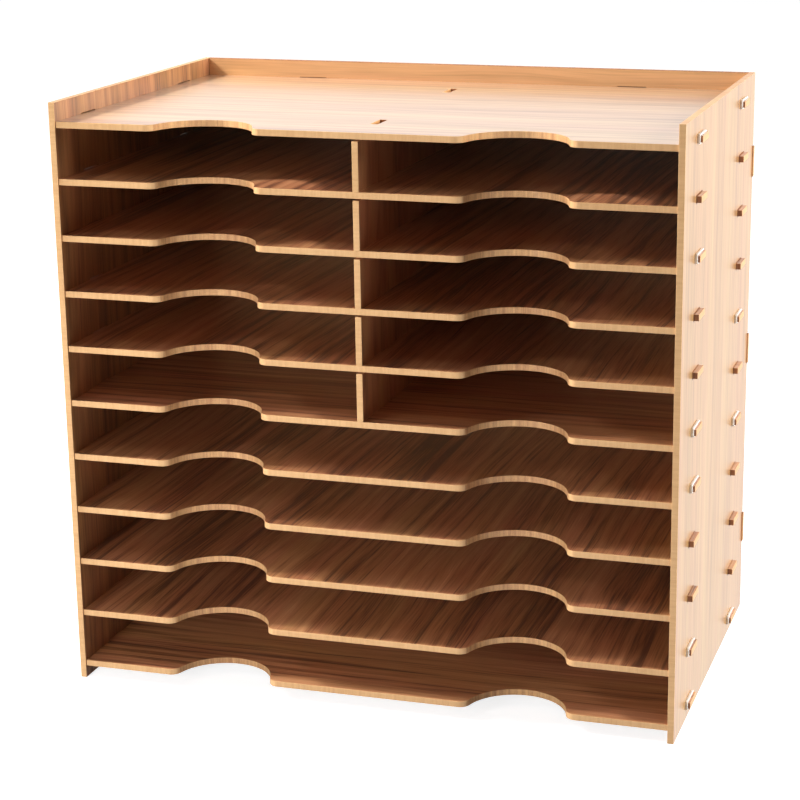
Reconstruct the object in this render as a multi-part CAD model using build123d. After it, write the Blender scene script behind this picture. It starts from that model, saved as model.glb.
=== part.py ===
"""A desk sorter for paper: open compartments of thin board between two side panels and a back.

Every board is flat and cut from one thickness. The shelves hold the box together: their
tabs pass through slots in the side panels and in the back, and stand out beyond them, and
a rubber ring pushed over some of the tabs keeps the panels from sliding off. Short
dividers split the upper compartments in two. They stand on tabs half a board deep, so
that the divider above a shelf and the divider below it share one slot.

Frame: +X to the right, +Y to the back, +Z up, in millimetres. The origin is on the floor,
in the middle of the sorter's outer box. Levels count down from the top board, level 0.
"""

from build123d import *
import os

# ---- Boards and the outer box ----
board = 5.0               # thickness of every board
outer_width = 500.0       # over the outer faces of the two side panels
panel_depth = 312.0       # front edge to rear edge of a side panel
panel_height = 478.0      # floor to the upper edges of the side and back panels
floor_gap = 10.0          # floor to the underside of the bottom board
upstand = 15.0            # side and back panels above the top board
front_setback = 1.5       # a shelf's front edge stands this far behind the side panels'

# ---- Compartments ----
split_compartments = 5    # at the top, each with a divider in the middle
full_compartments = 5     # below them, as wide as the box

# ---- Shelf tabs and their slots ----
tab_length = 24.0         # along the shelf's edge
tab_proud = 4.0           # from the panel's outer face to the end of a shelf's tab
side_tab_inset = 57.5     # a shelf's front or rear edge to the middle of a side tab
rear_tab_inset = 100.0    # a shelf's side edge to the middle of a rear tab
slot_play = 0.5           # between a tab and each wall of its slot
rear_slot_play = 0.2      # the same in the back panel, which fits closer

# ---- Back panel tabs, in notches in the rear edges of the side panels ----
back_tab_length = 26.0
back_tab_proud = 1.2      # from the side panel's outer face to the end of a back panel's tab
back_tab_inset = 75.0     # panel's lower or upper edge to the middle of the outer tabs

# ---- Finger cut-outs in the shelves' front edges, one in the middle of each half ----
cut_radius = 40.5
cut_depth = 37.0          # a shelf's front edge to the deepest point of the cut-out
cut_lip_radius = 8.5      # rounding where the cut-out meets the front edge

# ---- Dividers ----
divider_headroom = 1.5    # a divider's upper edge to the shelf above it
divider_tab_length = 23.0
divider_tab_gap = 0.4     # between the ends of two tabs that share a slot

# ---- Rubber rings on the tabs ----
ring_width = 2.2          # along the tab
ring_wall = 1.3           # round the tab
ring_corner = 1.8         # outer corner radius
front_ring_levels = (0, 2, 5, 6, 9, 10)
rear_ring_levels = (0, 4, 6, 10)
back_ring_levels = (0, 5, 10)

# ---- How near a corner has to lie to an edge's line to count as on it ----
on_line = 0.001

# ---- Worked out from the sizes above ----
half_width = outer_width / 2
inner_face = half_width - board                  # x of a side panel's inner face
front = -(panel_depth + tab_proud) / 2           # y of the side panels' front edges
rear = front + panel_depth                       # y of the back panel's rear face
back_face = rear - board                         # y of the back panel's front face
shelf_front = front + front_setback              # y of the shelves' front edges
half_middle = (inner_face + board / 2) / 2       # x of the middle of each half
compartments = split_compartments + full_compartments
levels = range(compartments + 1)
level_pitch = (panel_height - upstand - board - floor_gap) / compartments
side_tab_y = (shelf_front + side_tab_inset, back_face - side_tab_inset)
rear_tab_x = (rear_tab_inset - inner_face, inner_face - rear_tab_inset)
back_tab_z = (back_tab_inset, panel_height / 2, panel_height - back_tab_inset)
tab_reach = board + tab_proud                    # a tab's shoulder to its end
divider_height = level_pitch - board - divider_headroom
divider_tab_reach = (board - divider_tab_gap) / 2


def underside(level):
    """Height of the lower face of a level's board."""
    return panel_height - upstand - board - level * level_pitch


def centred(u, v, length, height):
    """A rectangle about a point of a sketch."""
    return Pos(u, v) * Rectangle(length, height)


def between(low, high):
    """A rectangle from its low corner to its high corner."""
    return centred((low[0] + high[0]) / 2, (low[1] + high[1]) / 2, high[0] - low[0], high[1] - low[1])


def slot(u, v, length, height, play=slot_play):
    """The opening in a sketch that takes a tab of this length and height."""
    return centred(u, v, length + 2 * play, height + 2 * play)


# A sketch is drawn on X and Y for a lying board, on Y and Z for one that stands from front
# to back, and on X and Z for one that stands from side to side.
def lying(sketch, z, thickness=board):
    return extrude(Plane(origin=(0, 0, z), x_dir=(1, 0, 0), z_dir=(0, 0, 1)) * sketch, amount=thickness)


def standing_lengthwise(sketch, x, thickness=board):
    return extrude(Plane(origin=(x, 0, 0), x_dir=(0, 1, 0), z_dir=(1, 0, 0)) * sketch, amount=thickness)


def standing_across(sketch, y, thickness=board):
    return extrude(Plane(origin=(0, y, 0), x_dir=(1, 0, 0), z_dir=(0, -1, 0)) * sketch, amount=-thickness)


# ---- Shelves, with the top and bottom boards among them ----
def cut_front(outline):
    """The shelf's front edge with its two finger cut-outs and their rounded lips."""
    for x in (-half_middle, half_middle):
        outline -= Pos(x, shelf_front + cut_depth - cut_radius) * Circle(cut_radius)
    on_front = outline.vertices().filter_by_position(Axis.Y, shelf_front - on_line, shelf_front + on_line)
    lips = on_front.filter_by_position(Axis.X, -inner_face, inner_face, inclusive=(False, False))
    return fillet(lips, cut_lip_radius)


def add_shelf_tabs(outline):
    for y in side_tab_y:
        outline += centred(0, y, 2 * (inner_face + tab_reach), tab_length)
    for x in rear_tab_x:
        outline += between((x - tab_length / 2, shelf_front + cut_depth), (x + tab_length / 2, back_face + tab_reach))
    return outline


def shelf(level):
    outline = between((-inner_face, shelf_front), (inner_face, back_face))
    outline = add_shelf_tabs(cut_front(outline))
    if level <= split_compartments:
        for y in side_tab_y:
            outline -= slot(0, y, board, divider_tab_length)
    return lying(outline, underside(level))


# ---- Panels ----
def side_panel(left_face):
    """A side panel, from the x of its left face."""
    outline = between((front, 0), (rear, panel_height))
    for level in levels:
        for y in side_tab_y:
            outline -= slot(y, underside(level) + board / 2, tab_length, board)
    for z in back_tab_z:
        outline -= slot(rear, z, 2 * board, back_tab_length)
    return standing_lengthwise(outline, left_face)


def back_panel():
    outline = between((-inner_face, 0), (inner_face, panel_height))
    for z in back_tab_z:
        outline += centred(0, z, 2 * (half_width + back_tab_proud), back_tab_length)
    for level in levels:
        for x in rear_tab_x:
            outline -= slot(x, underside(level) + board / 2, tab_length, board, rear_slot_play)
    return standing_across(outline, back_face)


# ---- Dividers ----
def divider(compartment):
    """A divider stands on the shelf of its compartment's number. The first is the top one."""
    foot = underside(compartment) + board
    tab_foot = foot - divider_tab_reach
    tab_top = underside(compartment - 1) + divider_tab_reach
    outline = between((shelf_front, foot), (back_face, foot + divider_height))
    for y in side_tab_y:
        outline += centred(y, (tab_foot + tab_top) / 2, divider_tab_length, tab_top - tab_foot)
    return standing_lengthwise(outline, -board / 2)


# ---- Rings ----
def ring(u, v):
    """A rubber band's section round a tab whose middle is at (u, v)."""
    outer = Rectangle(tab_length + 2 * ring_wall, board + 2 * ring_wall)
    return Pos(u, v) * (fillet(outer.vertices(), ring_corner) - Rectangle(tab_length, board))


def side_rings(left_face):
    rings = []
    for y, ringed in zip(side_tab_y, (front_ring_levels, rear_ring_levels)):
        for level in levels:
            if level in ringed:
                section = ring(y, underside(level) + board / 2)
                rings.append(standing_lengthwise(section, left_face, ring_width))
    return Compound(children=rings)


def back_rings():
    rings = []
    for x in rear_tab_x:
        for level in levels:
            if level in back_ring_levels:
                section = ring(x, underside(level) + board / 2)
                rings.append(standing_across(section, rear, ring_width))
    return Compound(children=rings)


# ---- The sorter ----
def sorter():
    """Every piece of the sorter by its name."""
    pieces = {
        "side_panel_left": side_panel(-half_width),
        "side_panel_right": side_panel(inner_face),
        "back_panel": back_panel(),
        "tab_rings_left": side_rings(-half_width - ring_width),
        "tab_rings_right": side_rings(half_width),
        "tab_rings_back": back_rings(),
    }
    for level in levels:
        pieces[f"shelf_{level}"] = shelf(level)
    pieces["top_board"] = pieces.pop("shelf_0")
    pieces["bottom_board"] = pieces.pop(f"shelf_{levels[-1]}")
    for compartment in range(1, split_compartments + 1):
        pieces[f"divider_{compartment}"] = divider(compartment)
    return pieces


os.makedirs("parts", exist_ok=True)
for name, piece in sorter().items():
    export_step(piece, f"parts/{name}.step")
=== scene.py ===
# %% [markdown]
# # A paper sorter of thin wood-grain board
#
# The sorter is a knock-down box. Eleven lying boards pass through two side panels and a back
# panel on tabs, and white rubber rings hold some of the tabs. The frame brings every board at
# its real size, in metres, and this lesson gives the boards their printed veneer and their
# cut edges, and the rings their shape.

# %% Load the frame
import math

import bmesh
import bpy
from mathutils import Matrix, Vector


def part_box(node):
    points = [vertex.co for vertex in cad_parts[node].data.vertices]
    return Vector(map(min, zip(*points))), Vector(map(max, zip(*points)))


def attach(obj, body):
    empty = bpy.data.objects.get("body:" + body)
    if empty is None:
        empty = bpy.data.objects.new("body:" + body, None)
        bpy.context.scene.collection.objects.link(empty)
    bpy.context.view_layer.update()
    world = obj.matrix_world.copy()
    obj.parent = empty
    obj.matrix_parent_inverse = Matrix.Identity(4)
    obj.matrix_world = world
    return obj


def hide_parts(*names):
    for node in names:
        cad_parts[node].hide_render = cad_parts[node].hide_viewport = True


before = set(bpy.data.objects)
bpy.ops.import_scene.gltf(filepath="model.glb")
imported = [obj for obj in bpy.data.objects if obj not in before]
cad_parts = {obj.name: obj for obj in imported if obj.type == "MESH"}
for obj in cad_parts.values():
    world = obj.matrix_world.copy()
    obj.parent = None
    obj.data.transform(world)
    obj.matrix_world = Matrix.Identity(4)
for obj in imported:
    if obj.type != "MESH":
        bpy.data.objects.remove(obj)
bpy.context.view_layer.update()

MM = 0.001

# %% [markdown]
# ## Sizes
#
# Nothing is typed twice. The board's thickness is the width of a side panel's box, and the
# faces of the panels come from the panels' boxes, so that a change in the frame is followed.

# %% Sizes from the frame
left_low, left_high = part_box("side_panel_left")
right_low, right_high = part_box("side_panel_right")
back_low, back_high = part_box("back_panel")

board = right_high.x - right_low.x
inner_face = right_low.x
outer_face = right_high.x
front_edge = right_low.y
rear_face = back_high.y
back_face = back_low.y
side_top = right_high.z
back_top = back_high.z
outer_width = right_high.x - left_low.x
inner_width = right_low.x - left_high.x
print(f"boards are {board / MM:.1f} mm thick")
print(f"the box is {outer_width / MM:.0f} mm wide outside and {inner_width / MM:.0f} mm inside")

lying_boards = ["top_board"] + [f"shelf_{level}" for level in range(1, 10)] + ["bottom_board"]
dividers = [f"divider_{compartment}" for compartment in range(1, 6)]

# %% [markdown]
# ## Camera
#
# The photograph was taken from the front and a little from the right and above, with a long
# lens. The angles, the distance and the lens come from matching the box's corners. A small
# shift keeps the uprights as steep as the photograph has them.

# %% Camera
view_azimuth = math.radians(16.61)
view_elevation = math.radians(15.53)
view_roll = math.radians(-0.445)
view_distance = 1.808
view_target = Vector((0.0338, 0.0, 0.217))

towards_camera = Vector((
    math.sin(view_azimuth) * math.cos(view_elevation),
    -math.cos(view_azimuth) * math.cos(view_elevation),
    math.sin(view_elevation),
))
level_right = Vector((math.cos(view_azimuth), math.sin(view_azimuth), 0.0))
level_up = towards_camera.cross(level_right)
right_axis = level_right * math.cos(view_roll) + level_up * math.sin(view_roll)
up_axis = level_up * math.cos(view_roll) - level_right * math.sin(view_roll)

camera_data = bpy.data.cameras.new("camera")
camera_data.sensor_width = 36.0
camera_data.lens = 97.2
camera_data.shift_x = -0.075
camera = bpy.data.objects.new("camera", camera_data)
turn = Matrix((right_axis, up_axis, towards_camera)).transposed().to_4x4()
camera.matrix_world = Matrix.Translation(view_target + towards_camera * view_distance) @ turn
bpy.context.scene.collection.objects.link(camera)
bpy.context.scene.camera = camera
print("the camera stands at", tuple(round(c, 3) for c in camera.matrix_world.translation))

# %% [markdown]
# ## Nodes
#
# Every material below is a small tree of nodes. Three helpers keep such a tree short to
# write: one turns a screen colour into Blender's linear numbers, one adds a node with its
# inputs, and one adds a sum.

# %% Node helpers
def srgb(red, green, blue):
    """A colour as picked from a screen, 0 to 255, in Blender's linear numbers."""
    def linear(value):
        share = value / 255
        return share / 12.92 if share <= 0.04045 else ((share + 0.055) / 1.055) ** 2.4
    return (linear(red), linear(green), linear(blue), 1.0)


def put(tree, kind, inputs=None, **settings):
    """Adds a node. Each input is a plain value or another node's output."""
    node = tree.nodes.new(kind)
    for name, value in settings.items():
        setattr(node, name, value)
    for name, value in (inputs or {}).items():
        if isinstance(value, bpy.types.NodeSocket):
            tree.links.new(value, node.inputs[name])
        else:
            node.inputs[name].default_value = value
    return node


def maths(tree, operation, *values):
    """A sum on numbers: the output of one Math node."""
    return put(tree, "ShaderNodeMath", dict(enumerate(values)), operation=operation).outputs[0]


# %% [markdown]
# ## Light
#
# The world is a white studio that is only looked at. It shows to the camera and in mirrors
# and glass and gives no other light, so that the depth of the compartments stays dark.

# %% World
world = bpy.data.worlds.new("studio")
world.use_nodes = True
tree = world.node_tree
tree.nodes.clear()
rays = put(tree, "ShaderNodeLightPath").outputs
looked_at = maths(tree, "MAXIMUM", rays["Is Camera Ray"], rays["Is Glossy Ray"])
looked_at = maths(tree, "MAXIMUM", looked_at, rays["Is Transmission Ray"])
sky = put(tree, "ShaderNodeBackground", {"Color": (1.0, 1.0, 1.0, 1.0), "Strength": looked_at})
put(tree, "ShaderNodeOutputWorld", {"Surface": sky.outputs[0]})
bpy.context.scene.world = world
bpy.context.scene.view_settings.view_transform = "Standard"
print("the world's tree has", len(tree.nodes), "nodes")

# %% [markdown]
# Two small boxes high at the left are the key light. They reach through the finger cut-outs
# and leave lit patches on the shelves below. Broad boxes overhead and at the right light the
# top and the outer side, and two weak ones in front reach a little way into the compartments.
# The lacquer mirrors the white studio at a flat angle, but not the boxes.

# %% Soft boxes
lamp_aim = Vector((0.0, 0.0, 0.25))


def soft_box(name, place, size, power):
    """An area lamp that faces the middle of the sorter."""
    lamp = bpy.data.lights.new(name, "AREA")
    lamp.shape = "SQUARE"
    lamp.size = size
    lamp.energy = power
    light = bpy.data.objects.new(name, lamp)
    aim = lamp_aim - Vector(place)
    light.location = place
    light.rotation_euler = aim.to_track_quat("-Z", "Y").to_euler()
    light.visible_camera = False
    light.visible_glossy = False
    bpy.context.scene.collection.objects.link(light)
    print(f"{name}: {power} W from a box {size} m wide")


soft_box("light_left_high", (-1.9, -0.22, 1.85), 0.3, 109)
soft_box("light_left", (-2.27, -0.45, 1.6), 0.35, 24)
soft_box("light_left_front", (-1.1, -1.3, 2.0), 0.6, 7.6)
soft_box("light_low_front", (-0.28, -0.8, 0.22), 0.25, 3.9)
soft_box("light_overhead", (-0.7, 0.6, 1.9), 1.0, 5)
soft_box("light_right", (2.6, 0.5, 1.2), 1.4, 131)

# %% [markdown]
# ## Floor
#
# In the photograph the sorter stands on plain white. A grey plane takes its shadow, and a
# glow that only the camera sees lifts the plane to white. Near the sorter the glow is a
# little weaker, because at full strength it would wash the shadow out.
#
# The lamps make a bright spot on the plane, and the lacquer would mirror it low on a side
# panel. So a mirror ray finds an even pale tone instead, except under the sorter, where it
# would show as a wedge at the left panel's inner foot.

# %% Floor plane
floor_reach = 6.0

floor_mesh = bpy.data.meshes.new("floor")
corners = [(-1, -1), (1, -1), (1, 1), (-1, 1)]
places = [(x * floor_reach, y * floor_reach, 0.0) for x, y in corners]
floor_mesh.from_pydata(places, [], [(0, 1, 2, 3)])
floor = bpy.data.objects.new("floor", floor_mesh)
bpy.context.scene.collection.objects.link(floor)
print("the floor reaches", floor_reach, "m each way")

# %% Floor finish
floor_grey = (0.5, 0.5, 0.5, 1.0)
near, near_glow = 0.5, 0.82
far, far_glow = 1.4, 1.0
mirrored_glow = 0.85

paper = bpy.data.materials.new("pale_floor")
paper.use_nodes = True
tree = paper.node_tree
tree.nodes.clear()
rays = put(tree, "ShaderNodeLightPath").outputs
here = put(tree, "ShaderNodeTexCoord").outputs["Object"]
away = put(tree, "ShaderNodeVectorMath", {0: here}, operation="LENGTH").outputs["Value"]
bright = put(tree, "ShaderNodeMapRange", {
    "Value": away, "From Min": near, "From Max": far, "To Min": near_glow, "To Max": far_glow})
where = put(tree, "ShaderNodeSeparateXYZ", {"Vector": here}).outputs
beside = maths(tree, "GREATER_THAN", maths(tree, "ABSOLUTE", where["X"]), outer_face)
before = maths(tree, "GREATER_THAN", maths(tree, "ABSOLUTE", where["Y"]), rear_face)
mirrored = maths(tree, "MULTIPLY", rays["Is Glossy Ray"], maths(tree, "MAXIMUM", beside, before))
shade = put(tree, "ShaderNodeBsdfDiffuse", {"Color": floor_grey})
glow = maths(tree, "MULTIPLY", rays["Is Camera Ray"], bright.outputs[0])
lift = put(tree, "ShaderNodeEmission", {"Strength": glow})
lit = put(tree, "ShaderNodeAddShader", {0: shade.outputs[0], 1: lift.outputs[0]})
even = put(tree, "ShaderNodeEmission", {"Strength": mirrored_glow})
shown = put(tree, "ShaderNodeMixShader", {0: mirrored, 1: lit.outputs[0], 2: even.outputs[0]})
put(tree, "ShaderNodeOutputMaterial", {"Surface": shown.outputs[0]})
floor_mesh.materials.append(paper)
print("the floor's tree has", len(tree.nodes), "nodes")

# %% [markdown]
# ## The printed veneer
#
# The faces carry a printed wood grain: broad soft bands, darker streaks that wander a little
# and fine fibres. These are noise on the piece's own coordinates, squeezed across the grain
# and drawn out along it. One node group makes the figure, and each board reads another part
# of it.

# %% Starting a finish
def start_finish(name):
    """A new material, its tree, its shader and the piece's own coordinates."""
    material = bpy.data.materials.new(name)
    material.use_nodes = True
    tree = material.node_tree
    here = put(tree, "ShaderNodeTexCoord").outputs["Object"]
    return material, tree, tree.nodes["Principled BSDF"], here


def noise(tree, place, stretch, detail, roughness=0.5):
    """Noise about 0.5. stretch is how often it changes in a metre along each axis."""
    squeezed = put(tree, "ShaderNodeVectorMath", {0: place, 1: stretch}, operation="MULTIPLY")
    inputs = {"Vector": squeezed.outputs[0], "Scale": 1.0, "Detail": detail, "Roughness": roughness}
    return put(tree, "ShaderNodeTexNoise", inputs).outputs[0]


def pick_colour(tree, value, *stops):
    """The colour that a value picks from stops of position and colour, lowest first."""
    ramp = put(tree, "ShaderNodeValToRGB", {"Fac": value})
    ends = ramp.color_ramp.elements
    ends[0].position, ends[0].color = stops[0]
    ends[1].position, ends[1].color = stops[-1]
    for position, colour in stops[1:-1]:
        ends.new(position).color = colour
    return ramp.outputs["Color"]


# %% [markdown]
# The figure adds up what a print shows from far to near. The bands and streaks carry most of
# the tone, the fibres a quarter, and thin veins darken it only where their noise is high. The
# heart is a faint sine of the distance from a point that lies on the top board. Squeezed
# along the grain, its rings are long ovals there. The other boards' offsets put them so far
# from the point that on them the rings are nearly straight bands, 12 mm apart.

# %% Veneer figure
wander_width = 0.024
band_share, streak_share, fibre_share = 0.30, 0.45, 0.25
vein_from, vein_full, vein_depth = 0.55, 0.72, 0.11
heart_squeeze = (0.11, 1.0, 0.0)
heart_rings, heart_depth = 520.0, 0.035


def make_veneer_figure():
    """A node group: coordinates with X along the grain in, tone, hue and fine grain out."""
    group = bpy.data.node_groups.new("veneer figure", "ShaderNodeTree")
    group.interface.new_socket("Place", in_out="INPUT", socket_type="NodeSocketVector")
    group.interface.new_socket("Heart", in_out="INPUT", socket_type="NodeSocketFloat")
    for name in ("Tone", "Hue", "Fibre"):
        group.interface.new_socket(name, in_out="OUTPUT", socket_type="NodeSocketFloat")
    given = put(group, "NodeGroupInput").outputs
    wander = noise(group, given["Place"], (3.0, 10.0, 30.0), 2.0)
    drift = maths(group, "MULTIPLY", maths(group, "SUBTRACT", wander, 0.5), wander_width)
    shift = put(group, "ShaderNodeCombineXYZ", {1: drift}).outputs[0]
    bent = put(group, "ShaderNodeVectorMath", {0: given["Place"], 1: shift}, operation="ADD").outputs[0]
    bands = noise(group, bent, (1.5, 26.0, 50.0), 1.0)
    streaks = noise(group, bent, (4.5, 125.0, 50.0), 3.0, 0.6)
    veins = noise(group, bent, (5.0, 340.0, 50.0), 2.0, 0.6)
    fibres = noise(group, bent, (25.0, 950.0, 90.0), 2.0)
    hue = noise(group, bent, (2.2, 34.0, 40.0), 2.0)
    thin = put(group, "ShaderNodeMapRange", {"Value": veins, "From Min": vein_from, "From Max": vein_full})
    arch = put(group, "ShaderNodeVectorMath", {0: bent, 1: heart_squeeze}, operation="MULTIPLY")
    reach = put(group, "ShaderNodeVectorMath", {0: arch.outputs[0]}, operation="LENGTH")
    waves = maths(group, "SINE", maths(group, "MULTIPLY", reach.outputs["Value"], heart_rings))
    heart = maths(group, "MULTIPLY", waves, given["Heart"])
    tone = maths(group, "MULTIPLY_ADD", bands, band_share, maths(group, "MULTIPLY", streaks, streak_share))
    tone = maths(group, "MULTIPLY_ADD", fibres, fibre_share, tone)
    tone = maths(group, "MULTIPLY_ADD", thin.outputs[0], -vein_depth, tone)
    tone = maths(group, "MULTIPLY_ADD", heart, heart_depth, tone)
    put(group, "NodeGroupOutput", {"Tone": tone, "Hue": hue, "Fibre": fibres})
    return group


veneer_figure = make_veneer_figure()
print("the veneer's figure takes", len(veneer_figure.nodes), "nodes")

# %% [markdown]
# A board's grain runs along its width, its depth or its height. A rotation brings that
# direction to the figure's X axis, and an offset of its own makes each board a new print.
# The tone then picks a colour between a dark streak and cream.

# %% Veneer directions and colours
GRAIN_TURN = {
    "across lying": (0.0, 0.0, 0.0),
    "deep lying": (0.0, 0.0, math.radians(-90)),
    "tall": (0.0, math.radians(90), 0.0),
    "across standing": (math.radians(-90), 0.0, 0.0),
    "deep standing": (math.radians(-90), 0.0, math.radians(-90)),
}
VENEER_TONES = (
    (0.34, srgb(113, 70, 48)),
    (0.43, srgb(166, 105, 66)),
    (0.51, srgb(193, 128, 83)),
    (0.64, srgb(209, 146, 98)),
    (0.85, srgb(245, 181, 130)),
)
hue_spread = 0.04
print("the grain can run:", ", ".join(GRAIN_TURN))

# %% [markdown]
# The laminate is a satin lacquer over the print, so the shader has a coat. The fibres make
# the print under it a little uneven, in gloss and in height.

# %% Veneer finish
def place_on_print(tree, here, grain, board_number):
    """A board's own place on the print, with X along its grain."""
    offset = (0.37 * board_number + 0.11, 0.83 * board_number - 0.05, 0.29 * board_number)
    turned = put(tree, "ShaderNodeMapping", {"Vector": here, "Rotation": GRAIN_TURN[grain]})
    return put(tree, "ShaderNodeVectorMath", {0: turned.outputs[0], 1: offset}, operation="ADD").outputs[0]


def veneer(name, grain, board_number, boldness=1.4, heart=0.7, middle=0.5, hue=0.501, saturation=0.96):
    """The satin printed face of one board. middle is its mean tone, a position in VENEER_TONES."""
    material, tree, shader, here = start_finish(name)
    figure = put(tree, "ShaderNodeGroup", node_tree=veneer_figure)
    tree.links.new(place_on_print(tree, here, grain, board_number), figure.inputs["Place"])
    figure.inputs["Heart"].default_value = heart
    tone = maths(tree, "SUBTRACT", figure.outputs["Tone"], 0.5)
    tone = maths(tree, "MULTIPLY_ADD", tone, boldness, middle)
    colour = pick_colour(tree, tone, *VENEER_TONES)
    turn = maths(tree, "MULTIPLY_ADD", figure.outputs["Hue"], hue_spread, hue - hue_spread / 2)
    hued = put(tree, "ShaderNodeHueSaturation", {"Color": colour, "Hue": turn, "Saturation": saturation})
    tree.links.new(hued.outputs["Color"], shader.inputs["Base Color"])
    fibre = figure.outputs["Fibre"]
    sheen = put(tree, "ShaderNodeMapRange", {"Value": fibre, "To Min": 0.46, "To Max": 0.36})
    tree.links.new(sheen.outputs[0], shader.inputs["Roughness"])
    bump = put(tree, "ShaderNodeBump", {"Height": fibre, "Strength": 0.25, "Distance": 0.1 * MM})
    tree.links.new(bump.outputs[0], shader.inputs["Normal"])
    shader.inputs["Coat Weight"].default_value = 1.0
    shader.inputs["Coat Roughness"].default_value = 0.22
    return material


# %% [markdown]
# ## The cut edges
#
# The core is fibre board, pale tan where it was cut. The tool left fine upright marks that
# show best inside the finger cut-outs. The cut runs through the board's thickness, so the
# marks do too. The sawn finish, rougher in tone, is for those cut-outs and for the side
# panels' upper edges, and in the tabs and slots the same cut is coloured dark brown.

# %% Edge finish
along_cut, across_cut = 12.0, 420.0
CUT_STRETCH = {
    "lying": (across_cut, across_cut, along_cut),
    "lengthwise": (along_cut, across_cut, across_cut),
    "crosswise": (across_cut, along_cut, across_cut),
}
mark_share, speck_share, patch_share = 0.55, 0.20, 0.25


def cut_edge(name, lie, dark, light, roughness):
    """A bare cut edge, with marks that run through the board's thickness."""
    material, tree, shader, here = start_finish(name)
    marks = noise(tree, here, CUT_STRETCH[lie], 3.0, 0.7)
    specks = noise(tree, here, (1500.0, 1500.0, 1500.0), 2.0)
    patches = noise(tree, here, (9.0, 9.0, 9.0), 1.0)
    mottle = maths(tree, "MULTIPLY_ADD", marks, mark_share, maths(tree, "MULTIPLY", specks, speck_share))
    mottle = maths(tree, "MULTIPLY_ADD", patches, patch_share, mottle)
    colour = pick_colour(tree, mottle, (0.34, dark), (0.62, light))
    tree.links.new(colour, shader.inputs["Base Color"])
    ridges = put(tree, "ShaderNodeBump", {"Height": marks, "Strength": 0.5, "Distance": 0.3 * MM})
    tree.links.new(ridges.outputs[0], shader.inputs["Normal"])
    shader.inputs["Roughness"].default_value = roughness
    shader.inputs["Coat Weight"].default_value = 0.5
    shader.inputs["Coat Roughness"].default_value = 0.3
    return material


# %% Edges for each lie
# The dark brown look goes on the tabs' flanks, the slots' walls and the back panel's long edges.
EDGE_LOOKS = {
    "cut_edge": (srgb(197, 150, 100), srgb(215, 171, 120), 0.62),
    "dark_edge": (srgb(115, 74, 50), srgb(181, 124, 85), 0.75),
    "sawn_edge": (srgb(155, 101, 66), srgb(219, 173, 119), 0.62),
}
edge_finishes = {}
for lie in CUT_STRETCH:
    edge_finishes[lie] = [cut_edge(f"{look}_{lie}", lie, *EDGE_LOOKS[look]) for look in EDGE_LOOKS]
print("edge finishes:", ", ".join(finish.name for finish in edge_finishes["lying"]))

# %% [markdown]
# ## Dressing a board
#
# A node of the frame is loose triangles, so a copy is merged and its flat faces are joined.
# Then every edge gets a tiny bevel, as a sanded edge has, because a sharp one never catches
# the light. The copy takes the node's place.

# %% Merge and bevel
edge_ease = 0.30 * MM
weld_distance = 0.001 * MM
flat_angle = math.radians(0.5)
crease_angle = math.radians(40)


def merged(node):
    """A node's mesh with its loose triangles welded."""
    shape = bmesh.new()
    shape.from_mesh(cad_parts[node].data)
    bmesh.ops.remove_doubles(shape, verts=shape.verts, dist=weld_distance)
    return shape


def ease_edges(shape):
    """Bevels the edges that turn by more than an arc's facet does."""
    sharp = [e for e in shape.edges if len(e.link_faces) == 2 and e.calc_face_angle() > crease_angle]
    bmesh.ops.bevel(
        shape, geom=sharp, offset=edge_ease, segments=2, profile=0.5, affect="EDGES", clamp_overlap=True)
    return len(sharp)


print(f"edges are eased by {edge_ease / MM:.1f} mm")

# %% [markdown]
# Which finish a cut face gets follows from where it lies and which way it faces. The flanks
# of a shelf's and of the back panel's tabs are dark brown, and so are the slots' walls. A
# finger cut-out's wall and a side panel's upper edge are sawn, and any other cut face is a
# plain edge. The back panel's long upper and lower edges fall under the rule for its slots,
# because their middle lies between the side panels, so they are dark brown too.

# %% Where the cut is dark brown or sawn
slot_margin = 20 * MM
cut_out_reach = 9 * board

# How much of a face's normal points along an axis.
mostly, nearly, squarely = 0.5, 0.9, 0.99


def is_dark_cut(lie, centre, normal):
    """Whether a cut face lies on a tab's flank, in a slot or on the back panel's long edges, where the cut
    is dark brown.
    """
    beyond_side = abs(centre.x) > inner_face
    if lie == "lying":
        tab_flank = beyond_side and abs(normal.y) > mostly
        rear_flank = centre.y > back_face and abs(normal.x) > mostly
        over_slots = front_edge + slot_margin < centre.y < back_face - slot_margin
        in_slot = abs(centre.x) < 0.6 * board and over_slots
        return tab_flank or rear_flank or in_slot
    if lie == "lengthwise" and beyond_side:
        on_front = centre.y < front_edge + board / 2
        on_rear = centre.y > rear_face - board / 10
        on_end = centre.z < board / 2 or centre.z > side_top - board / 2
        return not (on_front or on_rear or on_end)
    if lie == "crosswise":
        on_end = centre.z < board / 2 or centre.z > back_top - board / 2
        tab_flank = not on_end and abs(normal.x) < nearly
        return tab_flank or abs(centre.x) < inner_face - board
    return False


def is_sawn(lie, centre, normal):
    """Whether a cut face lies on a finger cut-out's wall or on a side panel's upper edge."""
    if lie == "lying":
        behind_front = front_edge + board < centre.y < front_edge + cut_out_reach
        return behind_front and abs(centre.x) < inner_face
    return lie == "lengthwise" and normal.z > mostly and centre.z > side_top - board / 2


print(f"a finger cut-out's wall is looked for up to {cut_out_reach / MM:.0f} mm behind the front edge")

# %% Dress
THICKNESS_AXIS = {"lying": 2, "lengthwise": 0, "crosswise": 1}
VENEERED, PLAIN, DARK_CUT, SAWN = range(4)


def finish_of(face, lie):
    """Which of a board's four finishes a face takes."""
    centre = face.calc_center_median()
    if abs(face.normal[THICKNESS_AXIS[lie]]) > squarely:
        return VENEERED
    if is_dark_cut(lie, centre, face.normal):
        return DARK_CUT
    if is_sawn(lie, centre, face.normal):
        return SAWN
    return PLAIN


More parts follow.
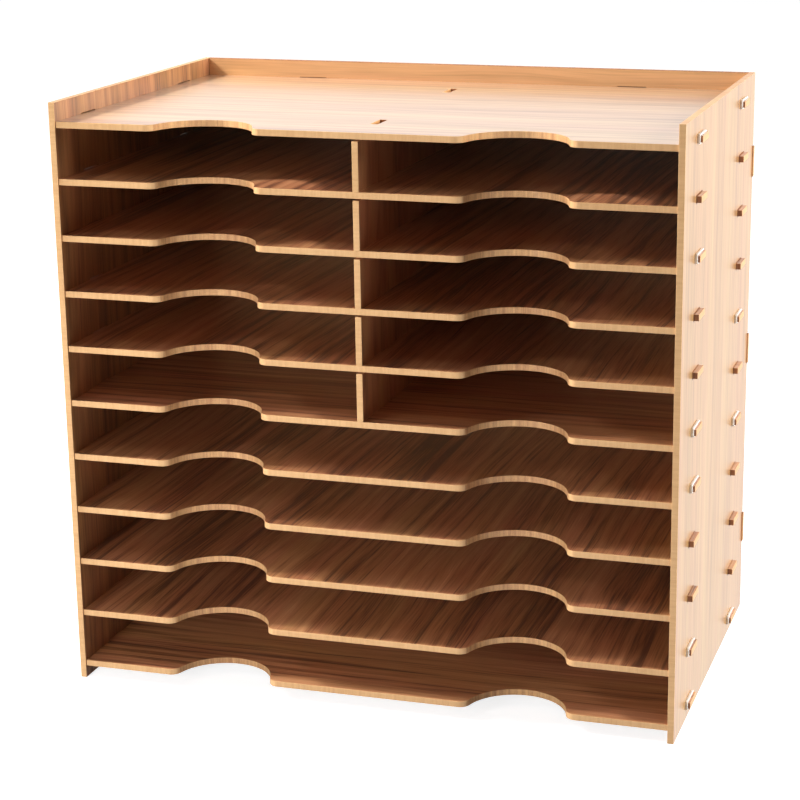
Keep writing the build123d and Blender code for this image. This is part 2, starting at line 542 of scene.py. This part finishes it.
def dress(node, lie, face_finish):
    """Replaces a node by its bevelled copy, with veneer on the faces and bare cut edges."""
    shape = merged(node)
    bmesh.ops.dissolve_limit(shape, angle_limit=flat_angle, verts=shape.verts, edges=shape.edges)
    count = ease_edges(shape)
    for face in shape.faces:
        face.smooth = True
        face.material_index = finish_of(face, lie)
    mesh = bpy.data.meshes.new(f"{node}_dressed")
    shape.to_mesh(mesh)
    shape.free()
    for finish in [face_finish] + edge_finishes[lie]:
        mesh.materials.append(finish)
    piece = bpy.data.objects.new(f"{node}_dressed", mesh)
    bpy.context.scene.collection.objects.link(piece)
    weigh = piece.modifiers.new("weigh flat faces", "WEIGHTED_NORMAL")
    weigh.keep_sharp = True
    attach(piece, "root")
    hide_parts(node)
    print(f"{node}: {count} edges eased, {len(mesh.polygons)} faces")


# %% [markdown]
# ## The boards
#
# The grain's direction is read from the photograph: the top board, the middle shelf and the
# bottom board have it across, the others from front to back, and the side panels upright.

# %% Dress the lying boards
calm = 0.6
grain_across = ("shelf_5", "bottom_board")

# The top board's print is greyer and yellower than the shelves': painted reflection of the white studio
# and painted highlight, on top of its lacquer's real reflection.
top_finish = veneer("veneer_top", "across lying", 0, calm, middle=0.49, hue=0.52, saturation=0.78)
dress("top_board", "lying", top_finish)
for number, node in enumerate(lying_boards[1:], start=1):
    grain = "across lying" if node in grain_across else "deep lying"
    middle = 0.58 if node == "bottom_board" else 0.5
    dress(node, "lying", veneer(f"veneer_{node}", grain, number, middle=middle))

# %% [markdown]
# The dividers and the panels stand. Above the top board the photograph shows a strip of the
# left panel and of the back panel. The left one has the darkest print of all, darker still as
# painted shade on its inner face, and the back one the palest, paler still as painted light
# thrown onto its strip by the top board.

# %% Dress the standing boards
for number, node in enumerate(dividers):
    dress(node, "lengthwise", veneer(f"veneer_{node}", "deep standing", 20 + number, 0.7))

# The left panel's dark tone is partly its print and partly painted shade.
left_finish = veneer("veneer_left", "tall", 30, 0.65, heart=0.1, middle=0.415, hue=0.508)
dress("side_panel_left", "lengthwise", left_finish)
# The right panel's print is yellower than the others': painted highlight of its brightly lit outer face.
right_finish = veneer("veneer_right", "tall", 31, calm, heart=0.1, hue=0.522, saturation=0.94)
dress("side_panel_right", "lengthwise", right_finish)
# The back panel's pale tone is partly its print and partly painted light.
back_finish = veneer("veneer_back", "across standing", 40, 0.7, heart=1.0, middle=0.84, hue=0.512)
dress("back_panel", "crosswise", back_finish)

# %% [markdown]
# ## The rubber rings
#
# Each ring is one rounded band pushed over a tab. They are all alike, so a Geometry Nodes
# tree makes one band and places it on a point for each solid of the frame's ring nodes.

# %% Ring rubber
def ring_rubber():
    """White rubber, a little uneven in tone, as dust makes it."""
    material, tree, shader, here = start_finish("white_rubber")
    dust = noise(tree, here, (700.0, 700.0, 700.0), 3.0)
    colour = pick_colour(tree, dust, (0.30, srgb(222, 218, 210)), (0.60, srgb(240, 238, 234)))
    tree.links.new(colour, shader.inputs["Base Color"])
    shader.inputs["Roughness"].default_value = 0.45
    return material


white_rubber = ring_rubber()
print("the rings are of", white_rubber.name)


# %% Ring places
def islands(node):
    """The boxes of a node's separate solids."""
    shape = merged(node)
    left = set(shape.verts)
    boxes = []
    while left:
        todo = [left.pop()]
        found = []
        while todo:
            vert = todo.pop()
            found.append(vert.co.copy())
            for edge in vert.link_edges:
                other = edge.other_vert(vert)
                if other in left:
                    left.remove(other)
                    todo.append(other)
        low = Vector([min(co[i] for co in found) for i in range(3)])
        high = Vector([max(co[i] for co in found) for i in range(3)])
        boxes.append((low, high))
    shape.free()
    return sorted(boxes, key=lambda box: tuple(box[0]))


# %% [markdown]
# The band is a small rounded section swept round a rounded rectangle. Its path runs through
# the middle of the rubber's wall, half a wall out from the tab on every side, which makes
# the rectangle one whole wall longer and higher than the tab.

# %% Ring tree
corner_facets, lip_facets = 6, 3
lip_share = 0.35


def add_ring_inputs(tree):
    """The sockets of the ring tree: points and sizes in, rings out."""
    tree.interface.new_socket("Points", in_out="INPUT", socket_type="NodeSocketGeometry")
    for name in ("Tab Length", "Tab Thickness", "Wall", "Width", "Corner Radius"):
        tree.interface.new_socket(name, in_out="INPUT", socket_type="NodeSocketFloat")
    tree.interface.new_socket("Turn", in_out="INPUT", socket_type="NodeSocketRotation")
    tree.interface.new_socket("Finish", in_out="INPUT", socket_type="NodeSocketMaterial")
    tree.interface.new_socket("Rings", in_out="OUTPUT", socket_type="NodeSocketGeometry")


def rounded_rectangle(tree, width, height, radius, facets):
    """A closed curve: a rectangle with rounded corners."""
    sides = put(tree, "GeometryNodeCurvePrimitiveQuadrilateral", {"Width": width, "Height": height})
    inputs = {"Curve": sides.outputs[0], "Radius": radius, "Count": facets}
    return put(tree, "GeometryNodeFilletCurve", inputs, mode="POLY").outputs[0]


def make_ring_tree():
    """Points in, rubber bands out. A Turn brings the band's flat rectangle round its tab."""
    tree = bpy.data.node_groups.new("rubber rings", "GeometryNodeTree")
    add_ring_inputs(tree)
    given = put(tree, "NodeGroupInput").outputs
    long_side = maths(tree, "ADD", given["Tab Length"], given["Wall"])
    short_side = maths(tree, "ADD", given["Tab Thickness"], given["Wall"])
    lip = maths(tree, "MULTIPLY", given["Wall"], lip_share)
    path = rounded_rectangle(tree, long_side, short_side, given["Corner Radius"], corner_facets)
    section = rounded_rectangle(tree, given["Wall"], given["Width"], lip, lip_facets)
    band = put(tree, "GeometryNodeCurveToMesh", {"Curve": path, "Profile Curve": section})
    inputs = {"Points": given["Points"], "Instance": band.outputs[0], "Rotation": given["Turn"]}
    placed = put(tree, "GeometryNodeInstanceOnPoints", inputs)
    solid = put(tree, "GeometryNodeRealizeInstances", {"Geometry": placed.outputs[0]})
    smooth = put(tree, "GeometryNodeSetShadeSmooth", {"Geometry": solid.outputs[0]})
    inputs = {"Geometry": smooth.outputs[0], "Material": given["Finish"]}
    finished = put(tree, "GeometryNodeSetMaterial", inputs)
    put(tree, "NodeGroupOutput", {"Rings": finished.outputs[0]})
    return tree


ring_tree = make_ring_tree()
print("the ring tree takes", len(ring_tree.nodes), "nodes")

# %% [markdown]
# The sizes come from the frame: the first solid's box gives the ring's width along the tab
# and its rubber's wall. A modifier's inputs go by their sockets' identifiers, so a helper
# looks these up by name. The result is made a plain mesh, and the points are thrown away.

# %% Rings on their tabs
def set_input(modifier, name, value):
    """Sets a Geometry Nodes modifier's input by its name."""
    for item in modifier.node_group.interface.items_tree:
        if item.name == name and item.in_out == "INPUT":
            modifier[item.identifier] = value


def rings(node, across, turn):
    """The bands of one ring node. across is the axis that the tabs stand out along."""
    boxes = islands(node)
    spots = bpy.data.meshes.new(f"{node}_spots")
    spots.from_pydata([(low + high) / 2 for low, high in boxes], [], [])
    maker = bpy.data.objects.new(f"{node}_maker", spots)
    bpy.context.scene.collection.objects.link(maker)
    size = boxes[0][1] - boxes[0][0]
    wall = (size.z - board) / 2
    modifier = maker.modifiers.new("rings", "NODES")
    modifier.node_group = ring_tree
    set_input(modifier, "Tab Length", size[1 - across] - 2 * wall)
    set_input(modifier, "Tab Thickness", board)
    set_input(modifier, "Wall", wall)
    set_input(modifier, "Width", size[across])
    set_input(modifier, "Corner Radius", 1.2 * wall)
    set_input(modifier, "Turn", turn)
    set_input(modifier, "Finish", white_rubber)
    made = maker.evaluated_get(bpy.context.evaluated_depsgraph_get())
    mesh = bpy.data.meshes.new_from_object(made)
    mesh.name = f"{node}_bands"
    bpy.data.objects.remove(maker)
    piece = bpy.data.objects.new(f"{node}_bands", mesh)
    bpy.context.scene.collection.objects.link(piece)
    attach(piece, "root")
    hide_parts(node)
    print(f"{node}: {len(boxes)} rings, {len(mesh.polygons)} faces")


stand_up = math.radians(90)
rings("tab_rings_left", 0, (stand_up, 0.0, stand_up))
rings("tab_rings_right", 0, (stand_up, 0.0, stand_up))
rings("tab_rings_back", 1, (stand_up, 0.0, 0.0))
